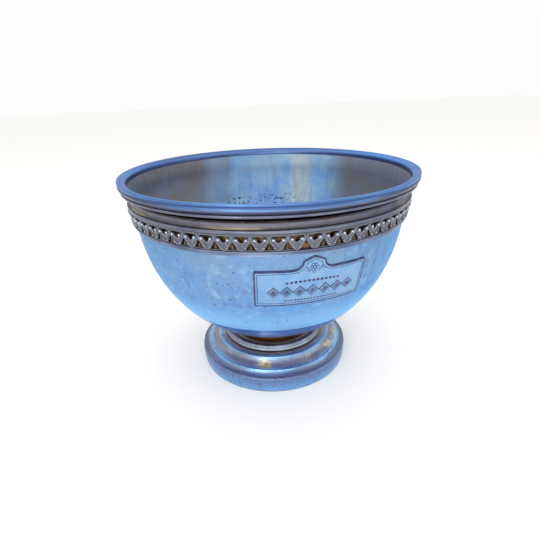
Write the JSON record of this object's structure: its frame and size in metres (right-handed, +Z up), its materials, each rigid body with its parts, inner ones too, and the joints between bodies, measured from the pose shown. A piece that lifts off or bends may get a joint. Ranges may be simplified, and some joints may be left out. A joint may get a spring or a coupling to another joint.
{
  "type": "champagne bucket",
  "caption": "Round footed champagne bowl in silvered metal, with a rolled rim, a pierced gallery around its brow, a label plaque on its front and a stepped foot.",
  "frame": {"origin": "centre of the foot's underside, on the surface that the bowl stands on", "axes": "+Z up along the bowl's turning axis; the label plaque faces -Y; +X to the right of someone who faces the plaque"},
  "size_m": [0.38, 0.38, 0.2814],
  "materials": {
    "bowl_silver": "satin silver with soft handling marks, small dents and pitting inside",
    "trim_silver": "smooth turned silver, worn bright on its edges",
    "aged_silver": "cast and scratched silver, dark in its recesses",
    "plaque_silver": "cast silver relief, dark around its raised work",
    "foot_silver": "polished silver with brown tarnish in its grooves",
    "fixing_steel": "plain machined steel"
  },
  "bodies": {
    "root": {"bowl_shell": "bowl_silver", "rim_lip": "trim_silver", "rim_bead": "trim_silver", "cove_band": "aged_silver", "gallery_top_rail": "trim_silver", "gallery_segment_1": "aged_silver", "gallery_segment_2": "aged_silver", "gallery_segment_3": "aged_silver", "gallery_segment_4": "aged_silver", "gallery_bottom_rail": "trim_silver", "label_plaque": "plaque_silver", "foot_neck": "foot_silver", "foot_neck_ring": "foot_silver", "foot_dome": "foot_silver", "foot_base_ring": "foot_silver", "bowl_stud": "fixing_steel", "foot_washer": "fixing_steel", "foot_nut": "fixing_steel"}
  },
  "joints": []
}
